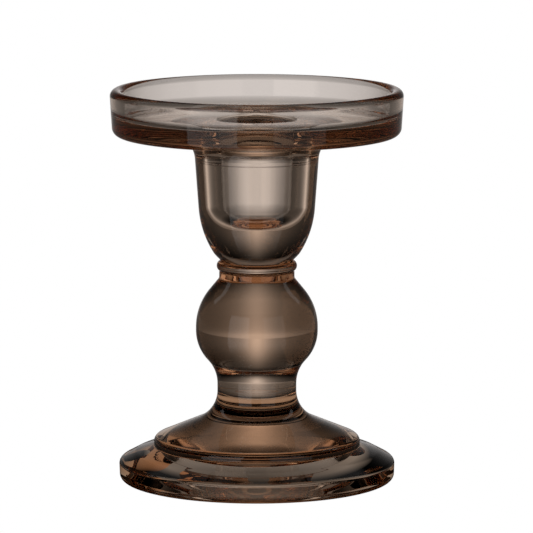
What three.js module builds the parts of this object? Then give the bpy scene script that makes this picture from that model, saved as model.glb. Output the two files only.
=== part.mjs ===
// A candlestick of smoky brown glass: a dish for a pillar candle over a cup for a taper candle,
// on a ball stem and a stepped foot.
//
// Units are millimetres and +Z is up. The origin is on the table, at the centre of the foot.
// Five turned pieces stand on one axis, and each rests face to face on the one below it,
// where the glass is fused.

import * as THREE from 'three';

// How finely round surfaces are cut into facets
const FACETS_ROUND = 48;
const ARC_STEP = THREE.MathUtils.degToRad(15);

// Heights of the planes where one piece is fused to the next
const FOOT_TOP = 29;
const STEM_TOP = 67.75;
const WAFER_TOP = 71.25;
const CUP_TOP = 103.5;

// Foot: a broad disc with a sloping top, a step up to a smaller bell, and a hollow curve to the neck.
// A shallow round recess underneath leaves a broad flat ring to stand on.
const FOOT = {
  baseRadius: 44.2,
  baseRounding: 2.1,
  wallRadius: 44.4,
  wallHeight: 6.3,
  wallRounding: 1.8,
  slopeRadius: 39,
  slopeHeight: 9.2,
  slopeRounding: 6,
  stepRadius: 33.2,
  stepHeight: 11.2,
  bellHeight: 13.7,
  bellRounding: 2.1,
  neckCurveHeight: 22.4,
  neckCurve: 9.9,
  recessDepth: 3,
  recessRadius: 25.5,
  ringInnerRadius: 27.7,
};

// Stem: a waisted neck, a ball and a short neck under the wafer
const NECK_RADIUS = 12.7;
const BALL = {
  radius: 19.6,
  waistHeight: 35.7,
  waistCurve: 11.5,
  lowerHeight: 43.1,
  lowerCurve: 13.8,
  upperHeight: 56.4,
  upperCurve: 18.9,
  collarRadius: 12.1,
  collarHeight: 65.5,
  collarCurve: 1.4,
};

// Wafer: a thin disc whose rim is a half round bead
const WAFER_RADIUS = 12.9;
const WAFER_BEAD_ROUNDING = 1.7;

// Cup: a bell that swells quickly above the wafer and then rises almost straight
const CUP = {
  seatRadius: 11.6,
  swellRadius: 13.7,
  swellHeight: 73.4,
  swellCurve: 7,
  sideRadius: 18.1,
  sideHeight: 80.6,
  sideCurve: 31,
  topRadius: 19.8,
};

// Well for the taper candle. It narrows all the way down from its mouth in the dish to its round
// bottom in the cup, so that a candle wedges in it.
const WELL = {
  floorHeight: 83,
  floorRadius: 10.6,
  floorRounding: 6.5,
  jointRadius: 11.5,
  mouthRadius: 12.1,
  mouthRounding: 2,
};

// Dish: a boss that flares out under a thick floor, and an upright wall with a round edge
const DISH = {
  bossCurve: 8,
  undersideHeight: 111.6,
  bossRadius: 20.4,
  baseRadius: 46.2,
  baseRounding: 2.7,
  rimRadius: 47.1,
  rimHeight: 126.4,
  rimThickness: 4.4,
  rimRounding: 2.15,
  floorHeight: 117.4,
  floorRadius: 42.3,
  floorRounding: 2.8,
};

// Smoky brown glass, with a material of its own for each piece
function smokedGlass(colour) {
  return new THREE.MeshStandardMaterial({
    color: colour,
    roughness: 0.05,
    metalness: 0,
    transparent: true,
    opacity: 0.6,
  });
}

// Points along a chain of corners, each [radius, height, rounding].
// An arc of that rounding replaces the corner. A corner without a rounding stays sharp.
function roundedOutline(corners) {
  const points = [];
  const at = (i) => new THREE.Vector2(corners[i][0], corners[i][1]);
  corners.forEach(([, , rounding = 0], i) => {
    const corner = at(i);
    if (!rounding) {
      points.push(corner);
      return;
    }
    const back = at(i - 1).sub(corner).normalize();
    const ahead = at(i + 1).sub(corner).normalize();
    const halfAngle = back.angleTo(ahead) / 2;
    const bisector = back.clone().add(ahead).normalize();
    const centre = corner.clone().addScaledVector(bisector, rounding / Math.sin(halfAngle));
    const setback = rounding / Math.tan(halfAngle);
    const start = corner.clone().addScaledVector(back, setback).sub(centre);
    const turn = (Math.PI - 2 * halfAngle) * Math.sign(ahead.cross(back));
    const steps = Math.ceil(Math.abs(turn) / ARC_STEP);
    for (let step = 0; step <= steps; step += 1) {
      const spoke = start.clone().rotateAround(new THREE.Vector2(), (turn * step) / steps);
      points.push(spoke.add(centre));
    }
  });
  return points;
}

// A closed solid turned about the vertical axis from an outline that runs anticlockwise
function turned(name, corners, colour) {
  const geometry = new THREE.LatheGeometry(roundedOutline(corners), FACETS_ROUND);
  geometry.rotateX(Math.PI / 2);
  const mesh = new THREE.Mesh(geometry, smokedGlass(colour));
  mesh.name = name;
  return mesh;
}

// The foot stands on a flat ring round a shallow recess
function steppedFoot() {
  return turned('stepped_foot', [
    [0, FOOT.recessDepth],
    [FOOT.recessRadius, FOOT.recessDepth],
    [FOOT.ringInnerRadius, 0],
    [FOOT.baseRadius, 0, FOOT.baseRounding],
    [FOOT.wallRadius, FOOT.wallHeight, FOOT.wallRounding],
    [FOOT.slopeRadius, FOOT.slopeHeight, FOOT.slopeRounding],
    [FOOT.stepRadius, FOOT.stepHeight],
    [FOOT.stepRadius, FOOT.bellHeight, FOOT.bellRounding],
    [NECK_RADIUS, FOOT.neckCurveHeight, FOOT.neckCurve],
    [NECK_RADIUS, FOOT_TOP],
    [0, FOOT_TOP],
  ], 0x5d4a3c);
}

function ballStem() {
  return turned('ball_stem', [
    [0, FOOT_TOP],
    [NECK_RADIUS, FOOT_TOP],
    [NECK_RADIUS, BALL.waistHeight, BALL.waistCurve],
    [BALL.radius, BALL.lowerHeight, BALL.lowerCurve],
    [BALL.radius, BALL.upperHeight, BALL.upperCurve],
    [BALL.collarRadius, BALL.collarHeight, BALL.collarCurve],
    [BALL.collarRadius, STEM_TOP],
    [0, STEM_TOP],
  ], 0x6b5544);
}

function waferRing() {
  return turned('wafer_ring', [
    [0, STEM_TOP],
    [WAFER_RADIUS, STEM_TOP, WAFER_BEAD_ROUNDING],
    [WAFER_RADIUS, WAFER_TOP, WAFER_BEAD_ROUNDING],
    [0, WAFER_TOP],
  ], 0x4b3b30);
}

// The cup is solid below its well, and its top face is a flat ring round the well
function taperCup() {
  return turned('taper_cup', [
    [0, WAFER_TOP],
    [CUP.seatRadius, WAFER_TOP],
    [CUP.swellRadius, CUP.swellHeight, CUP.swellCurve],
    [CUP.sideRadius, CUP.sideHeight, CUP.sideCurve],
    [CUP.topRadius, CUP_TOP],
    [WELL.jointRadius, CUP_TOP],
    [WELL.floorRadius, WELL.floorHeight, WELL.floorRounding],
    [0, WELL.floorHeight],
  ], 0x8a7260);
}

// The dish is a ring: its outline closes on itself round the mouth of the well
function pillarDish() {
  const rimInnerRadius = DISH.rimRadius - DISH.rimThickness;
  return turned('pillar_dish', [
    [WELL.jointRadius, CUP_TOP],
    [CUP.topRadius, CUP_TOP],
    [DISH.bossRadius, DISH.undersideHeight, DISH.bossCurve],
    [DISH.baseRadius, DISH.undersideHeight, DISH.baseRounding],
    [DISH.rimRadius, DISH.rimHeight, DISH.rimRounding],
    [rimInnerRadius, DISH.rimHeight, DISH.rimRounding],
    [DISH.floorRadius, DISH.floorHeight, DISH.floorRounding],
    [WELL.mouthRadius, DISH.floorHeight, WELL.mouthRounding],
    [WELL.jointRadius, CUP_TOP],
  ], 0x7d6655);
}

const candlestick = new THREE.Group();
candlestick.add(steppedFoot(), ballStem(), waferRing(), taperCup(), pillarDish());

export default candlestick;
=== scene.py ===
"""Looks of the glass candlestick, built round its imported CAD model.

Each CAD node is replaced by a finely turned glass piece of the same outline, with the soft
ripples of pressed glass. Outlines are in millimetres, as (radius, height, rounding), and the
heights and outer radii that tie the pieces together are read from the frame.
"""

import math
from types import SimpleNamespace

import bpy
import numpy as np
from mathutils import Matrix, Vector, noise


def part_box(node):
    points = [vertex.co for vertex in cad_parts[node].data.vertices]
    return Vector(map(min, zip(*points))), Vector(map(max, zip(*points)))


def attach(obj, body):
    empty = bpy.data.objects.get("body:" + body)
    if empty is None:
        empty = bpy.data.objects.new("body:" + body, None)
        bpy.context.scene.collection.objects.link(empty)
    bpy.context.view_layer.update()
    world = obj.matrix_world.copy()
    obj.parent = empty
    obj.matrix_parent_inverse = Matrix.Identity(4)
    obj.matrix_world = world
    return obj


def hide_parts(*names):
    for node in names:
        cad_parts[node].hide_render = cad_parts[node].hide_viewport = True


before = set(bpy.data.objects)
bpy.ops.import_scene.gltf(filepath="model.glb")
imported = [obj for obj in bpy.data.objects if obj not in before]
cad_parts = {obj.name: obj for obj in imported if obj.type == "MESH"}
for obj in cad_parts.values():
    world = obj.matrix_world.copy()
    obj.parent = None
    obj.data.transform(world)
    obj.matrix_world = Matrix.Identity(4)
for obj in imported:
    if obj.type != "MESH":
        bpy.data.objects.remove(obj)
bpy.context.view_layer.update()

MM = 0.001
ROOT = "root"

# How finely the glass is cut: steps round the axis, turn of an outline's arc in one step, and
# longest straight run in millimetres
SEGMENTS_ROUND = 240
ARC_STEP = math.radians(4)
LONGEST_RUN = 0.8

# Lengths below this count as nothing, in millimetres
NO_LENGTH = 1e-6

# Hairline left between two fused pieces, so that their faces don't lie in each other
JOINT_GAP = 0.02

# Pressed glass is never quite true: height and length of its ripples, the distance over which
# they fade towards a joint, and where in the noise the upward ripple is read
RIPPLE_HEIGHT = 0.02
RIPPLE_LENGTH = 16
RIPPLE_FADE = 2.5
UPWARD_RIPPLE = Vector((40, 0, 0))

# Refractive index of soda-lime glass, and of a face where glass is fused to glass
GLASS_INDEX = 1.5
FUSED_INDEX = 1.0

# Faint smears of the skin: how fine they are, the noise where they start and are fullest, and
# the roughness of a full one
SMEAR_SCALE = 70
SMEAR_DETAIL = 5
SMEAR_START = 0.5
SMEAR_FULL = 0.85
SMEAR_ROUGHNESS = 0.05

# Chill folds of the skin: how fine and how bent they are, their strength, and their height in
# metres
FOLD_SCALE = 55
FOLD_DETAIL = 2
FOLD_DISTORTION = 0.8
FOLD_STRENGTH = 0.5
FOLD_HEIGHT = 0.0001

# Absorption of red, green and blue light by the glass, for each metre
ABSORPTION = (6.5, 16.0, 25.2)

# Bounces of light: through glass and in all, and off its surfaces
GLASS_BOUNCES = 48
GLOSSY_BOUNCES = 24


# Camera -------------------------------------------------------------------------------------

CAMERA_DISTANCE = 1.528
CAMERA_PITCH = math.radians(8.43)
CAMERA_AIM = Vector((0.0031, 0, 0.0691))
CAMERA_LENS = 321.5
CAMERA_SENSOR = 36


def add_camera():
    """A long lens a little above the candlestick, looking down on it."""
    data = bpy.data.cameras.new("camera")
    data.lens = CAMERA_LENS
    data.sensor_width = CAMERA_SENSOR
    camera = bpy.data.objects.new("camera", data)
    back = Vector((0, -math.cos(CAMERA_PITCH), math.sin(CAMERA_PITCH)))
    camera.location = CAMERA_AIM + back * CAMERA_DISTANCE
    camera.rotation_euler = (math.pi / 2 - CAMERA_PITCH, 0, 0)
    bpy.context.scene.collection.objects.link(camera)
    bpy.context.scene.camera = camera
    return camera


# Outlines -----------------------------------------------------------------------------------


def span(node):
    """Lowest height, highest height and outer radius of a CAD node, in millimetres."""
    low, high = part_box(node)
    return low.z / MM, high.z / MM, high.x / MM


def rounded_outline(corners):
    """Points along a chain of corners, with an arc in place of each corner that has a rounding."""
    points = []
    for i, (radius, height, *rest) in enumerate(corners):
        corner = Vector((radius, height))
        rounding = rest[0] if rest else 0
        if not rounding:
            points.append(corner)
            continue
        back = (Vector(corners[i - 1][:2]) - corner).normalized()
        ahead = (Vector(corners[i + 1][:2]) - corner).normalized()
        half_angle = back.angle(ahead) / 2
        centre = corner + (back + ahead).normalized() * rounding / math.sin(half_angle)
        spoke = corner + back * rounding / math.tan(half_angle) - centre
        side = 1 if ahead.x * back.y - ahead.y * back.x > 0 else -1
        turn = (math.pi - 2 * half_angle) * side
        steps_by_turn = math.ceil(abs(turn) / ARC_STEP)
        steps_by_length = math.ceil(abs(turn) * rounding / LONGEST_RUN)
        steps = max(2, steps_by_turn, steps_by_length)
        for step in range(steps + 1):
            angle = turn * step / steps
            turned = Vector((
                spoke.x * math.cos(angle) - spoke.y * math.sin(angle),
                spoke.x * math.sin(angle) + spoke.y * math.cos(angle),
            ))
            points.append(centre + turned)
    return points


def fine_outline(corners):
    """The rounded outline with its long straight runs cut into short ones."""
    points = rounded_outline(corners)
    fine = [points[0]]
    for start, end in zip(points, points[1:]):
        length = (end - start).length
        if length < NO_LENGTH:
            continue
        steps = math.ceil(length / LONGEST_RUN)
        for step in range(1, steps + 1):
            fine.append(start.lerp(end, step / steps))
    return fine


# Turned glass -------------------------------------------------------------------------------


def ripple(point, joints):
    """Outward and upward error of the glass at a point, in millimetres. It fades out at joints."""
    distance = min(abs(point.z - joint) for joint in joints)
    fade = min(1, distance / RIPPLE_FADE)
    outward = noise.noise(point / RIPPLE_LENGTH)
    upward = noise.noise(point / RIPPLE_LENGTH + UPWARD_RIPPLE)
    return RIPPLE_HEIGHT * outward, RIPPLE_HEIGHT * upward * fade


def ring_round(point, joints):
    """Places in metres of one ring of the skin. On the axis, a ring is a single place."""
    if point.x < NO_LENGTH:
        return [Vector((0, 0, point.y)) * MM]
    places = []
    for segment in range(SEGMENTS_ROUND):
        angle = math.tau * segment / SEGMENTS_ROUND
        place = Vector((point.x * math.cos(angle), point.x * math.sin(angle), point.y))
        outward, upward = ripple(place, joints)
        grown = (point.x + outward) / point.x
        places.append(Vector((place.x * grown, place.y * grown, place.z + upward)) * MM)
    return places


def band(lower, upper):
    """Faces between two rings of vertex numbers. Either ring may be one point on the axis."""
    faces = []
    for segment in range(SEGMENTS_ROUND):
        after = (segment + 1) % SEGMENTS_ROUND
        if len(lower) == 1:
            faces.append((lower[0], upper[after], upper[segment]))
        elif len(upper) == 1:
            faces.append((lower[segment], lower[after], upper[0]))
        else:
            faces.append((lower[segment], lower[after], upper[after], upper[segment]))
    return faces


def is_fused(start, end, joints):
    """Whether the stretch of outline between two points lies flat in a joint."""
    flat = abs(start.y - end.y) < NO_LENGTH
    return flat and any(abs(start.y - joint) < JOINT_GAP for joint in joints)


def turned_glass(name, corners, joints):
    """A closed glass body turned about the axis. joints are the heights of its fused faces."""
    outline = fine_outline(corners)
    closed_ring = corners[0][:2] == corners[-1][:2]
    if closed_ring:
        outline = outline[:-1]
    vertices = []
    rings = []
    for point in outline:
        places = ring_round(point, joints)
        rings.append(range(len(vertices), len(vertices) + len(places)))
        vertices.extend(places)
    if closed_ring:
        outline.append(outline[0])
        rings.append(rings[0])
    faces = []
    fused = []
    for lower, upper, start, end in zip(rings, rings[1:], outline, outline[1:]):
        faces.extend(band(lower, upper))
        fused.extend([float(is_fused(start, end, joints))] * SEGMENTS_ROUND)
    mesh = bpy.data.meshes.new(name)
    mesh.from_pydata(vertices, [], faces)
    mark = mesh.attributes.new("fused", "FLOAT", "FACE")
    mark.data.foreach_set("value", np.array(fused, np.float32))
    smooth_skin(mesh, fused)
    mesh.validate()
    piece = bpy.data.objects.new(name, mesh)
    bpy.context.scene.collection.objects.link(piece)
    return piece


def smooth_skin(mesh, fused):
    """Smooth shading, with a sharp edge wherever the skin meets a fused face."""
    mesh.polygons.foreach_set("use_smooth", [True] * len(mesh.polygons))
    kinds = {}
    for polygon, mark in zip(mesh.polygons, fused):
        for key in polygon.edge_keys:
            kinds.setdefault(key, set()).add(mark)
    sharp = [len(kinds[edge.key]) > 1 for edge in mesh.edges]
    mesh.attributes.new("sharp_edge", "BOOLEAN", "EDGE").data.foreach_set("value", sharp)


# Glass material -----------------------------------------------------------------------------


def node_tool(tree):
    """A short way to add a node: kind, settings by name, and links or values by input."""

    def add(kind, inputs=None, **settings):
        node = tree.nodes.new(kind)
        for key, value in settings.items():
            setattr(node, key, value)
        for key, value in (inputs or {}).items():
            if isinstance(value, bpy.types.NodeSocket):
                tree.links.new(value, node.inputs[key])
            else:
                node.inputs[key].default_value = value
        return node

    return add


def smeared_roughness(add, place, fused):
    """Roughness of the skin: faint smears, and none on a fused face."""
    skin = add("ShaderNodeMath", {0: 1.0, 1: fused}, operation="SUBTRACT").outputs["Value"]
    spots = add(
        "ShaderNodeTexNoise",
        {"Vector": place, "Scale": SMEAR_SCALE, "Detail": SMEAR_DETAIL},
    ).outputs["Fac"]
    smears = add(
        "ShaderNodeMapRange",
        {
            "Value": spots,
            "From Min": SMEAR_START,
            "From Max": SMEAR_FULL,
            "To Min": 0.0,
            "To Max": SMEAR_ROUGHNESS,
        },
    ).outputs["Result"]
    return add("ShaderNodeMath", {0: smears, 1: skin}, operation="MULTIPLY").outputs["Value"]


def folded_normal(add, place):
    """Low folds in the skin, as bump."""
    folds = add(
        "ShaderNodeTexNoise",
        {"Vector": place, "Scale": FOLD_SCALE, "Detail": FOLD_DETAIL, "Distortion": FOLD_DISTORTION},
    ).outputs["Fac"]
    bump = add(
        "ShaderNodeBump",
        {"Strength": FOLD_STRENGTH, "Distance": FOLD_HEIGHT, "Height": folds},
    )
    return bump.outputs["Normal"]


def smoked_glass(name):
    """Clear brown glass: fire-polished skin, faint smears, and colour that deepens with depth."""
    material = bpy.data.materials.new(name)
    material.use_nodes = True
    tree = material.node_tree
    tree.nodes.clear()
    add = node_tool(tree)
    fused = add("ShaderNodeAttribute", attribute_name="fused").outputs["Fac"]
    index = add(
        "ShaderNodeMapRange",
        {"Value": fused, "To Min": GLASS_INDEX, "To Max": FUSED_INDEX},
    ).outputs["Result"]
    place = add("ShaderNodeTexCoord").outputs["Object"]
    glass = add(
        "ShaderNodeBsdfPrincipled",
        {
            "Base Color": (1, 1, 1, 1),
            "Roughness": smeared_roughness(add, place, fused),
            "IOR": GLASS_INDEX,
            "Transmission Weight": 1.0,
            "Normal": folded_normal(add, place),
        },
    )
    # The link comes after the value, which stays on the socket for an export that drops the link
    tree.links.new(index, glass.inputs["IOR"])
    strongest = max(ABSORPTION)
    passed = [1 - lost / strongest for lost in ABSORPTION]
    depth = add("ShaderNodeVolumeAbsorption", {"Color": (*passed, 1), "Density": strongest})
    output = add("ShaderNodeOutputMaterial", {"Surface": glass.outputs["BSDF"]})
    tree.links.new(depth.outputs["Volume"], output.inputs["Volume"])
    return material


# Pieces -------------------------------------------------------------------------------------


def dress(piece, node, slot):
    """Gives a piece its glass and lets it stand for its CAD node."""
    piece.data.materials.append(smoked_glass(slot))
    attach(piece, ROOT)
    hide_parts(node)


# Foot. Heights are above the table, and an inset is measured in from the outer radius in the frame
FOOT = SimpleNamespace(
    recess_depth=3.0,
    recess_radius=25.5,
    ring_inner_radius=27.7,
    ring_rounding=0.5,
    base_inset=0.15,
    base_rounding=2.1,
    wall_inset=-0.05,
    wall_height=6.3,
    wall_rounding=1.8,
    slope_inset=5.35,
    slope_height=9.2,
    slope_rounding=6,
    step_radius=33.2,
    step_height=11.2,
    step_rounding=0.5,
    bell_height=13.7,
    bell_rounding=2.1,
    neck_curve_height=22.4,
    neck_curve=9.9,
)

# Stem. Insets of the neck and the collar are measured in from the ball's radius in the frame
BALL = SimpleNamespace(
    neck_inset=6.9,
    waist_height=35.7,
    waist_curve=11.5,
    lower_height=43.1,
    lower_curve=13.8,
    upper_height=56.4,
    upper_curve=18.9,
    collar_inset=7.5,
    collar_height=65.5,
    collar_curve=1.4,
    collar_top_rounding=0.3,
)


def stepped_foot():
    """Broad disc, step, bell and neck curve, on a foot ring round a shallow recess."""
    bottom, top, radius = span("stepped_foot")
    neck = span("ball_stem")[2] - BALL.neck_inset
    top -= JOINT_GAP / 2
    corners = [
        (0, bottom + FOOT.recess_depth),
        (FOOT.recess_radius, bottom + FOOT.recess_depth, FOOT.ring_rounding),
        (FOOT.ring_inner_radius, bottom, FOOT.ring_rounding),
        (radius - FOOT.base_inset, bottom, FOOT.base_rounding),
        (radius - FOOT.wall_inset, bottom + FOOT.wall_height, FOOT.wall_rounding),
        (radius - FOOT.slope_inset, bottom + FOOT.slope_height, FOOT.slope_rounding),
        (FOOT.step_radius, bottom + FOOT.step_height, FOOT.step_rounding),
        (FOOT.step_radius, bottom + FOOT.bell_height, FOOT.bell_rounding),
        (neck, bottom + FOOT.neck_curve_height, FOOT.neck_curve),
        (neck, top),
        (0, top),
    ]
    piece = turned_glass("foot_glass_piece", corners, [top])
    dress(piece, "stepped_foot", "foot_glass")


def ball_stem():
    """Waisted neck, ball and short collar."""
    bottom, top, radius = span("ball_stem")
    bottom += JOINT_GAP / 2
    top -= JOINT_GAP / 2
    neck = radius - BALL.neck_inset
    collar = radius - BALL.collar_inset
    corners = [
        (0, bottom),
        (neck, bottom),
        (neck, BALL.waist_height, BALL.waist_curve),
        (radius, BALL.lower_height, BALL.lower_curve),
        (radius, BALL.upper_height, BALL.upper_curve),
        (collar, BALL.collar_height, BALL.collar_curve),
        (collar, top, BALL.collar_top_rounding),
        (0, top),
    ]
    piece = turned_glass("stem_glass_piece", corners, [bottom, top])
    dress(piece, "ball_stem", "stem_glass")


WAFER_BEAD_ROUNDING = 1.7


def wafer_ring():
    """Thin disc with a half round bead, between the stem and the cup."""
    bottom, top, radius = span("wafer_ring")
    bottom += JOINT_GAP / 2
    top -= JOINT_GAP / 2
    corners = [
        (0, bottom),
        (radius, bottom, WAFER_BEAD_ROUNDING),
        (radius, top, WAFER_BEAD_ROUNDING),
        (0, top),
    ]
    piece = turned_glass("wafer_glass_piece", corners, [bottom, top])
    dress(piece, "wafer_ring", "wafer_glass")


# Well for the taper candle, which narrows from its mouth in the dish to its round bottom
WELL = SimpleNamespace(
    mouth_radius=12.1,
    mouth_rounding=2,
    joint_radius=11.5,
    floor_radius=10.6,
    floor_height=83,
    floor_rounding=6.5,
)

# Bell of the cup, which swells quickly above the wafer and then rises almost straight
CUP = SimpleNamespace(
    seat_radius=11.6,
    swell_radius=13.7,
    swell_height=73.4,
    swell_curve=7,
    side_radius=18.1,
    side_height=80.6,
    side_curve=31,
)

# Dish. Its rim stands proud of the faceted one in the frame, and its boss of the top of the cup.
# Insets are measured in from the rim
DISH = SimpleNamespace(
    rim_proud=0.13,
    rim_thickness=4.4,
    rim_rounding=2.15,
    boss_proud=0.6,
    boss_curve=8,
    underside_height=111.6,
    base_inset=0.9,
    base_rounding=2.7,
    floor_inset=4.8,
    floor_height=117.4,
    floor_rounding=2.8,
)


def taper_cup():
    """Bell with a thick solid bottom and the tapered well."""
    bottom, top, radius = span("taper_cup")
    bottom += JOINT_GAP / 2
    top -= JOINT_GAP / 2
    corners = [
        (0, bottom),
        (CUP.seat_radius, bottom),
        (CUP.swell_radius, CUP.swell_height, CUP.swell_curve),
        (CUP.side_radius, CUP.side_height, CUP.side_curve),
        (radius, top),
        (WELL.joint_radius, top),
        (WELL.floor_radius, WELL.floor_height, WELL.floor_rounding),
        (0, WELL.floor_height),
    ]
    piece = turned_glass("cup_glass_piece", corners, [bottom, top])
    dress(piece, "taper_cup", "cup_glass")


def pillar_dish():
    """Flared boss, thick floor with the mouth of the well, and upright wall with a round edge."""
    bottom, top, radius = span("pillar_dish")
    bottom += JOINT_GAP / 2
    cup = span("taper_cup")[2]
    rim = radius + DISH.rim_proud
    corners = [
        (WELL.joint_radius, bottom),
        (cup, bottom),
        (cup + DISH.boss_proud, DISH.underside_height, DISH.boss_curve),
        (rim - DISH.base_inset, DISH.underside_height, DISH.base_rounding),
        (rim, top, DISH.rim_rounding),
        (rim - DISH.rim_thickness, top, DISH.rim_rounding),
        (rim - DISH.floor_inset, DISH.floor_height, DISH.floor_rounding),
        (WELL.mouth_radius, DISH.floor_height, WELL.mouth_rounding),
        (WELL.joint_radius, bottom),
    ]
    piece = turned_glass("dish_glass_piece", corners, [bottom])
    dress(piece, "pillar_dish", "dish_glass")


# Studio -------------------------------------------------------------------------------------

# The dome and the table shine in a pattern. It is placed by azimuth from straight behind the
# object and by elevation, in degrees, and on the table by distance too, in metres. The soft edge
# of a shape lies inside its limits and is as wide as its softness.
STUDIO_RADIUS = 3
FLOOR_RADIUS = 2.9
BACKGROUND_WHITE = 1.0
PLAIN_WHITE = (1, 1, 1, 1)

# Past anything in the studio: the open end of a range
FAR_AWAY = 99.0

# Colours of the bright light, and of the dim light of the room
WHITE_LIGHT = (1.05, 1.0, 0.985, 1)
ROOM_BROWN = (1.0, 0.87, 0.76, 1)

# Glow low behind the object. It is half as bright at its width, and has an elevation and a reach
# above and below it
GLOW = 0.67
GLOW_WIDTH = 8.0
GLOW_HEIGHT = 0.5
GLOW_REACH = 17.0

# Two cards to the left and right of the camera, from low to high on the dome. The table carries
# their light on towards the object, as painted light
LEFT_CARD = 0.7
LEFT_CARD_SIDES = (-166, -125)
RIGHT_CARD = 0.3
RIGHT_CARD_SIDES = (125, 168)
CARD_SIDE_SOFTNESS = 1.5
CARD_ENDS = (-10, 28)
CARD_END_SOFTNESS = 3.0

# Broad light high behind the object
TOP_LIGHT = 0.12
TOP_LIGHT_SIDES = (-60, 60)
TOP_LIGHT_SIDE_SOFTNESS = 8.0
TOP_LIGHT_ENDS = (34, 80)
TOP_LIGHT_END_SOFTNESS = 6.0

# A narrow high light on each side. The sides are those of the right one, and the left mirrors it
EDGE_LIGHTS = 0.5
EDGE_LIGHT_SIDES = (62, 74)
EDGE_LIGHT_SIDE_SOFTNESS = 2.0
EDGE_LIGHT_ENDS = (25, 60)
EDGE_LIGHT_END_SOFTNESS = 3.0

# Dim light of the room, widest and brightest low behind the object, and its level on the table
ROOM = 0.032
ROOM_HEIGHT = -4.0
ROOM_REACH = 22.0
ROOM_WIDTH = 80.0
ROOM_ON_TABLE = 0.05

# Brightness of the streak of light on the table, in front of a line across it behind the object,
# and past that line, where it rises with distance up to a limit
TABLE_EDGE = 0.165
TABLE_EDGE_SOFTNESS = 0.003
NEAR_TABLE = 0.34
FAR_TABLE = 0.24
FAR_RISE = 0.5
FAR_RISE_LIMIT = 0.36

# The streak is half as bright at its width, in degrees. It spreads over the run past the start
STREAK_WIDTH = 9.5
STREAK_SPREAD = 4.0
SPREAD_START = 0.3
SPREAD_RUN = 0.6

# The table is dark round the foot. Its light comes back over the run past the start
SHADE_START = 0.055
SHADE_RUN = 0.055

# Dim light under the foot, which comes in over the run from the start, front to back
UNDER_FOOT = 0.42
UNDER_FOOT_RADIUS = 0.034
UNDER_FOOT_SOFTNESS = 0.004
UNDER_FOOT_START = -0.035
UNDER_FOOT_RUN = 0.045


def math_tool(tree):
    """Short names for the sums that the studio's light is worked out with."""
    add = node_tool(tree)

    def sum_of(operation, *values):
        node = add("ShaderNodeMath", dict(enumerate(values)), operation=operation)
        return node.outputs["Value"]

    return sum_of


def bell(calc, value, centre, width):
    """1 at the centre, falling off as a long-tailed bell, 1/2 at the width."""
    off = calc("DIVIDE", calc("SUBTRACT", value, centre), width)
    return calc("DIVIDE", 1.0, calc("ADD", 1.0, calc("MULTIPLY", off, off)))


def hill(calc, value, centre, width):
    """1 at the centre, falling off fast as a Gaussian of that width."""
    off = calc("DIVIDE", calc("SUBTRACT", value, centre), width)
    return calc("EXPONENT", calc("MULTIPLY", calc("MULTIPLY", off, off), -1.0))


def between(calc, value, low, high, soft):
    """1 between two limits and 0 outside, with soft edges."""
    rise = calc("DIVIDE", calc("SUBTRACT", value, low), soft)
    fall = calc("DIVIDE", calc("SUBTRACT", high, value), soft)
    share = calc("MINIMUM", rise, fall)
    return calc("MAXIMUM", calc("MINIMUM", share, 1.0), 0.0)


def bearings(tree):
    """Azimuth from straight behind the object, elevation and distance, in degrees and metres."""
    add = node_tool(tree)
    calc = math_tool(tree)
    place = add("ShaderNodeTexCoord").outputs["Object"]
    split = add("ShaderNodeSeparateXYZ", {"Vector": place}).outputs
    azimuth = calc("DEGREES", calc("ARCTAN2", split["X"], split["Y"]))
    across = calc("SQRT", calc(
        "ADD", calc("MULTIPLY", split["X"], split["X"]), calc("MULTIPLY", split["Y"], split["Y"])
    ))
    elevation = calc("DEGREES", calc("ARCTAN2", split["Z"], across))
    return azimuth, elevation, across


def front_cards(calc, azimuth):
    """Two cards beside the camera, seen in the glass as pale upright panels."""
    left = between(calc, azimuth, *LEFT_CARD_SIDES, CARD_SIDE_SOFTNESS)
    right = between(calc, azimuth, *RIGHT_CARD_SIDES, CARD_SIDE_SOFTNESS)
    return calc("ADD", calc("MULTIPLY", left, LEFT_CARD), calc("MULTIPLY", right, RIGHT_CARD))


def colour_of_light(tree, bright, dim):
    """White light where it is bright, and the brown of the dark room where it is dim."""
    add = node_tool(tree)
    white = add("ShaderNodeEmission", {"Color": WHITE_LIGHT, "Strength": bright})
    brown = add("ShaderNodeEmission", {"Color": ROOM_BROWN, "Strength": dim})
    both = add("ShaderNodeAddShader")
    tree.links.new(white.outputs["Emission"], both.inputs[0])
    tree.links.new(brown.outputs["Emission"], both.inputs[1])
    return both.outputs["Shader"]


def edge_lights(calc, azimuth):
    """The sides of the two narrow lights, mirrored to left and right."""
    inner, outer = EDGE_LIGHT_SIDES
    left = between(calc, azimuth, -outer, -inner, EDGE_LIGHT_SIDE_SOFTNESS)
    right = between(calc, azimuth, inner, outer, EDGE_LIGHT_SIDE_SOFTNESS)
    return calc("ADD", left, right)


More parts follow.
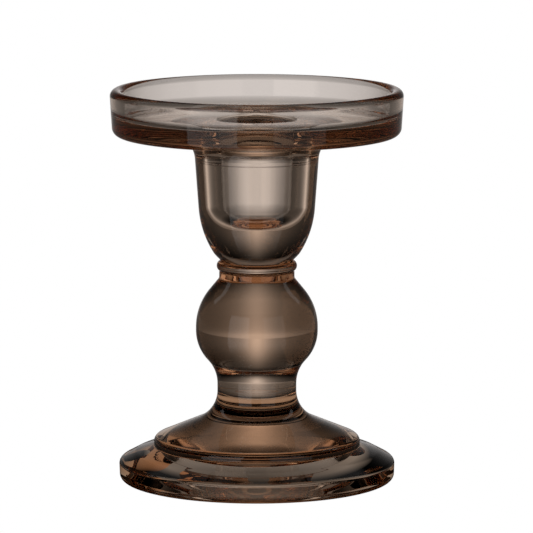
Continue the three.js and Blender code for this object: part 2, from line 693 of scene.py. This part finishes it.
def wall_light(calc, azimuth, elevation):
    """Bright and dim light of the dome, by direction."""
    glow = calc(
        "MULTIPLY",
        bell(calc, azimuth, 0.0, GLOW_WIDTH),
        hill(calc, elevation, GLOW_HEIGHT, GLOW_REACH),
    )
    cards = calc(
        "MULTIPLY",
        front_cards(calc, azimuth),
        between(calc, elevation, *CARD_ENDS, CARD_END_SOFTNESS),
    )
    top = calc(
        "MULTIPLY",
        between(calc, elevation, *TOP_LIGHT_ENDS, TOP_LIGHT_END_SOFTNESS),
        between(calc, azimuth, *TOP_LIGHT_SIDES, TOP_LIGHT_SIDE_SOFTNESS),
    )
    edges = calc(
        "MULTIPLY",
        edge_lights(calc, azimuth),
        between(calc, elevation, *EDGE_LIGHT_ENDS, EDGE_LIGHT_END_SOFTNESS),
    )
    room = calc(
        "MULTIPLY",
        hill(calc, elevation, ROOM_HEIGHT, ROOM_REACH),
        hill(calc, azimuth, 0.0, ROOM_WIDTH),
    )
    bright = calc("ADD", calc("MULTIPLY", glow, GLOW), cards)
    bright = calc("ADD", bright, calc("MULTIPLY", top, TOP_LIGHT))
    bright = calc("ADD", bright, calc("MULTIPLY", edges, EDGE_LIGHTS))
    return bright, calc("MULTIPLY", room, ROOM)


def studio_wall(rig):
    """A dome with a soft glow low behind the object. The camera doesn't see it."""
    bpy.ops.mesh.primitive_uv_sphere_add(segments=64, ring_count=32, radius=STUDIO_RADIUS)
    dome = bpy.context.object
    dome.name = "studio_wall"
    dome.visible_camera = False
    dome.visible_shadow = False
    material = bpy.data.materials.new("studio_wall")
    material.use_nodes = True
    tree = material.node_tree
    tree.nodes.clear()
    add = node_tool(tree)
    calc = math_tool(tree)
    azimuth, elevation, _ = bearings(tree)
    bright, dim = wall_light(calc, azimuth, elevation)
    shine = colour_of_light(tree, bright, dim)
    add("ShaderNodeOutputMaterial", {"Surface": shine})
    dome.data.materials.append(material)
    dome.parent = rig


def table_light(calc, azimuth, depth, distance):
    """Bright and dim light of the table. depth is metres behind the object's axis."""
    far = between(calc, depth, TABLE_EDGE, FAR_AWAY, TABLE_EDGE_SOFTNESS)
    near_level = calc("MULTIPLY", calc("SUBTRACT", 1.0, far), NEAR_TABLE)
    far_rise = calc("MINIMUM", calc("MULTIPLY", distance, FAR_RISE), FAR_RISE_LIMIT)
    far_level = calc("MULTIPLY", far, calc("ADD", far_rise, FAR_TABLE))
    level = calc("ADD", far_level, near_level)
    further_back = between(calc, depth, SPREAD_START, FAR_AWAY, SPREAD_RUN)
    half_width = calc("ADD", calc("MULTIPLY", further_back, STREAK_SPREAD), STREAK_WIDTH)
    streak = bell(calc, azimuth, 0.0, half_width)
    shade = between(calc, distance, SHADE_START, FAR_AWAY, SHADE_RUN)
    under = between(calc, distance, -FAR_AWAY, UNDER_FOOT_RADIUS, UNDER_FOOT_SOFTNESS)
    under = calc("MULTIPLY", under, between(calc, depth, UNDER_FOOT_START, FAR_AWAY, UNDER_FOOT_RUN))
    # Painted light on the table: the glow's streak and the cards' light, dimmed by the painted shade
    # round the foot
    streak_and_cards = calc("ADD", calc("MULTIPLY", streak, level), front_cards(calc, azimuth))
    bright = calc("MULTIPLY", streak_and_cards, shade)
    dim = calc("ADD", calc("MULTIPLY", shade, ROOM_ON_TABLE), calc("MULTIPLY", under, UNDER_FOOT))
    return bright, dim


def studio_floor(rig):
    """A table that the camera sees as plain white, and the glass sees with its pattern of light."""
    bpy.ops.mesh.primitive_circle_add(vertices=128, radius=FLOOR_RADIUS, fill_type="NGON")
    floor = bpy.context.object
    floor.name = "floor"
    material = bpy.data.materials.new("floor")
    material.use_nodes = True
    tree = material.node_tree
    tree.nodes.clear()
    add = node_tool(tree)
    calc = math_tool(tree)
    azimuth, _, distance = bearings(tree)
    place = add("ShaderNodeTexCoord").outputs["Object"]
    depth = add("ShaderNodeSeparateXYZ", {"Vector": place}).outputs["Y"]
    bright, dim = table_light(calc, azimuth, depth, distance)
    seen_in_glass = colour_of_light(tree, bright, dim)
    white = add("ShaderNodeEmission", {"Color": PLAIN_WHITE, "Strength": BACKGROUND_WHITE})
    direct = add("ShaderNodeLightPath").outputs["Is Camera Ray"]
    mix = add("ShaderNodeMixShader", {"Fac": direct})
    tree.links.new(seen_in_glass, mix.inputs[1])
    tree.links.new(white.outputs["Emission"], mix.inputs[2])
    add("ShaderNodeOutputMaterial", {"Surface": mix.outputs["Shader"]})
    floor.data.materials.append(material)
    floor.parent = rig


def studio(camera):
    """Dome, table and white world. Dome and table turn with the camera's azimuth."""
    rig = bpy.data.objects.new("studio_rig", None)
    bpy.context.scene.collection.objects.link(rig)
    turn = rig.constraints.new("COPY_ROTATION")
    turn.target = camera
    turn.use_x = False
    turn.use_y = False
    studio_wall(rig)
    studio_floor(rig)
    world = bpy.data.worlds.new("white_background")
    world.use_nodes = True
    background = world.node_tree.nodes["Background"]
    background.inputs["Color"].default_value = PLAIN_WHITE
    background.inputs["Strength"].default_value = BACKGROUND_WHITE
    bpy.context.scene.world = world


def picture_settings():
    """Plain colours, and enough bounces for light to find its way through solid glass."""
    scene = bpy.context.scene
    scene.view_settings.view_transform = "Standard"
    scene.cycles.max_bounces = GLASS_BOUNCES
    scene.cycles.transmission_bounces = GLASS_BOUNCES
    scene.cycles.glossy_bounces = GLOSSY_BOUNCES


camera = add_camera()
picture_settings()
studio(camera)
stepped_foot()
ball_stem()
wafer_ring()
taper_cup()
pillar_dish()
